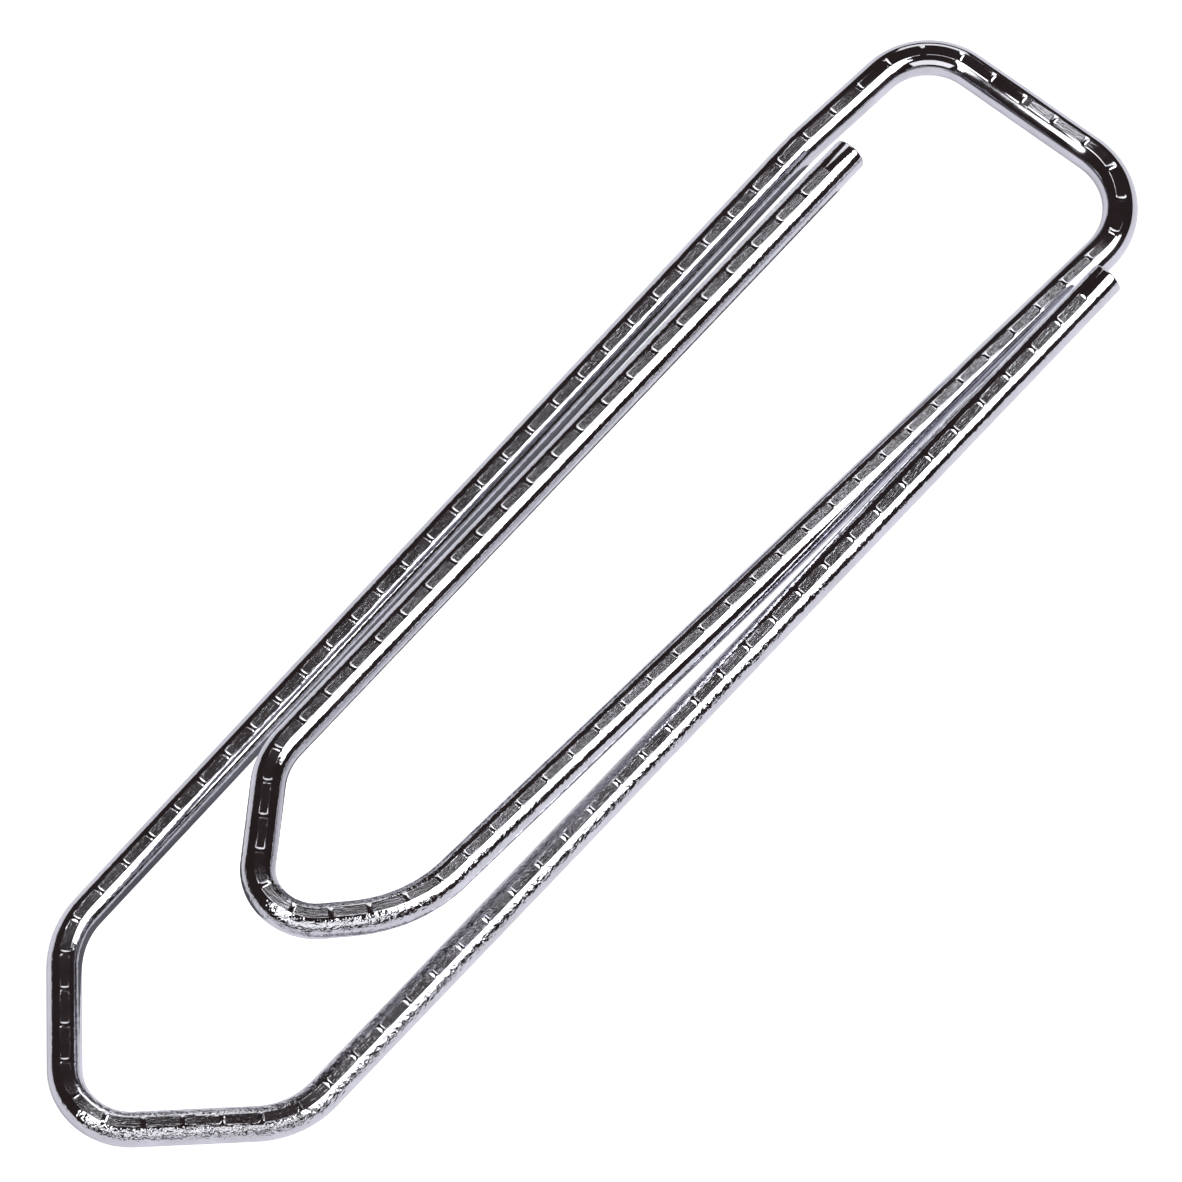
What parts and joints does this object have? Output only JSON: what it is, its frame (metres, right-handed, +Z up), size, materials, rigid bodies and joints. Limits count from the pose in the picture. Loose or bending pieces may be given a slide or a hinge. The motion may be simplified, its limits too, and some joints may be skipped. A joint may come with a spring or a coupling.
{
  "type": "paper clip",
  "caption": "Large bright wire paper clip with a pointed nose, a squared bow, a sprung inner tongue and a ribbed grip track along its upper side, for holding loose sheets together.",
  "frame": {"origin": "middle of the clip's plan, on the table that it lies on", "axes": "+X along the clip from the pointed nose to the bow, +Y across towards the long leg, +Z up, the side that the tongue springs to"},
  "size_m": [0.05, 0.0127, 0.0043],
  "materials": {
    "plated_wire": "bright nickel plating over drawn steel wire, mirror-like with fine drawing lines"
  },
  "bodies": {
    "outer_frame": {"nose": "plated_wire", "long_leg": "plated_wire", "bow_heel": "plated_wire"},
    "outer_arm": {"outer_shoulder": "plated_wire", "outer_free_leg": "plated_wire"},
    "tongue": {"bow_toe": "plated_wire", "inner_leg": "plated_wire", "tongue_nose": "plated_wire"},
    "inner_arm": {"inner_shoulder": "plated_wire", "inner_free_leg": "plated_wire"}
  },
  "joints": [
    {"name": "tongue_open", "type": "hinge", "parent": "outer_frame", "child": "tongue", "pos_m": [0.02424, 0.0008, 0.0006], "axis": [-0.0555, 0.9985, 0], "range_deg": [-4.4, 12], "stiffness_Nm_per_rad": 1.2},
    {"name": "outer_arm_flex", "type": "hinge", "parent": "outer_frame", "child": "outer_arm", "pos_m": [-0.02235, -0.0026, 0.0006], "axis": [0.6943, -0.7196, 0], "range_deg": [-4.2, 6], "stiffness_Nm_per_rad": 1.4},
    {"name": "inner_arm_flex", "type": "hinge", "parent": "tongue", "child": "inner_arm", "pos_m": [-0.01357, 0.00209, 0.0035], "axis": [-0.8197, -0.569, 0.0654], "range_deg": [-3.9, 6], "stiffness_Nm_per_rad": 1.5}
  ]
}
